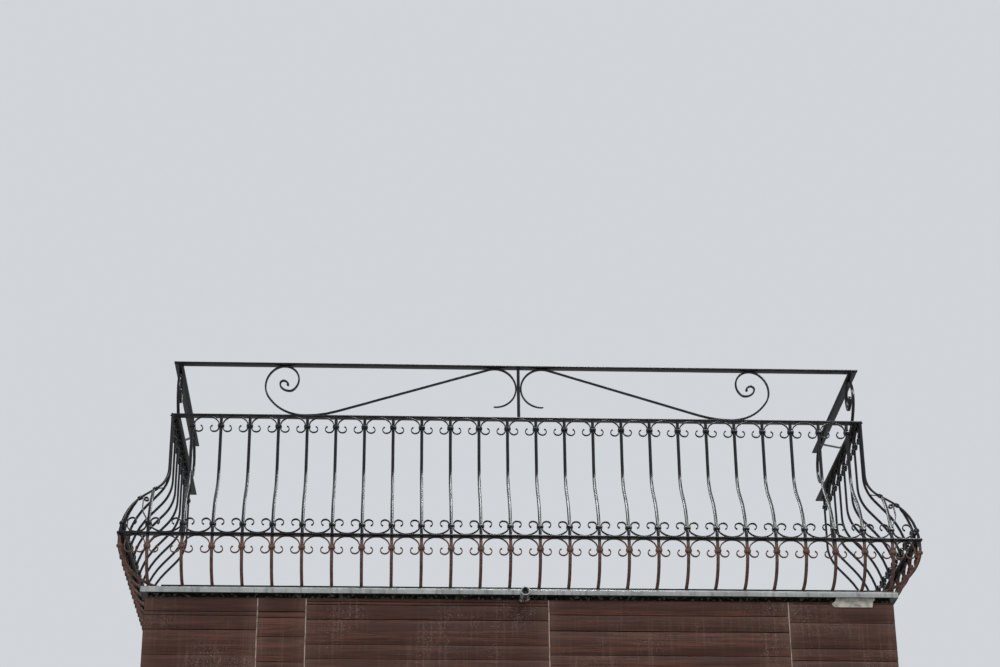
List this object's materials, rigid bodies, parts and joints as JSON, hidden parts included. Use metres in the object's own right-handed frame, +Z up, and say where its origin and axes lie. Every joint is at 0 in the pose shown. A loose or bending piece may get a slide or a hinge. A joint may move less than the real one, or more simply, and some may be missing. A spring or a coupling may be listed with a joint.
{
  "type": "wrought iron balcony",
  "caption": "Wall balcony with a bulging wrought iron railing of flat bars and scrollwork, a deck with rounded metal edging, a drain spout and a boarded apron.",
  "frame": {"origin": "centre of the slab's back face, in the plane of the wall", "axes": "+X along the wall to the right as seen from outside, +Y into the wall, +Z up"},
  "size_m": [3.536, 1.188, 1.535],
  "materials": {
    "black_iron": "gloss black paint, worn",
    "rusty_iron": "worn paint over rust",
    "pale_metal": "dull pale grey, stained",
    "concrete": "bare concrete",
    "floor_tile": "unglazed tile",
    "apron_board": "red-brown stain, weathered"
  },
  "bodies": {
    "root": {"deck_slab": "concrete", "floor_finish": "floor_tile", "nosing_front": "pale_metal", "nosing_left": "pale_metal", "nosing_right": "pale_metal", "drain_spout": "pale_metal", "apron_front": "apron_board", "apron_left": "apron_board", "apron_right": "apron_board", "soffit": "apron_board", "bottom_rail_front": "black_iron", "bottom_rail_left": "black_iron", "bottom_rail_right": "black_iron", "belly_rail_front": "rusty_iron", "belly_rail_left": "rusty_iron", "belly_rail_right": "rusty_iron", "mid_rail_front": "black_iron", "mid_rail_left": "black_iron", "mid_rail_right": "black_iron", "handrail_front": "black_iron", "handrail_left": "black_iron", "handrail_right": "black_iron", "balusters_front": "black_iron", "balusters_left": "black_iron", "balusters_right": "black_iron", "corner_bar_left": "black_iron", "corner_bar_right": "black_iron", "spur_bars_left": "black_iron", "spur_bars_right": "black_iron", "upper_scrolls_front": "black_iron", "upper_scrolls_left": "black_iron", "upper_scrolls_right": "black_iron", "belly_scrolls_front": "rusty_iron", "belly_scrolls_left": "rusty_iron", "belly_scrolls_right": "rusty_iron", "collars_front": "black_iron", "collars_left": "black_iron", "collars_right": "black_iron", "centre_post": "black_iron", "large_scroll_front_left": "black_iron", "large_scroll_front_right": "black_iron", "large_scroll_side_left": "black_iron", "large_scroll_side_right": "black_iron"}
  },
  "joints": []
}
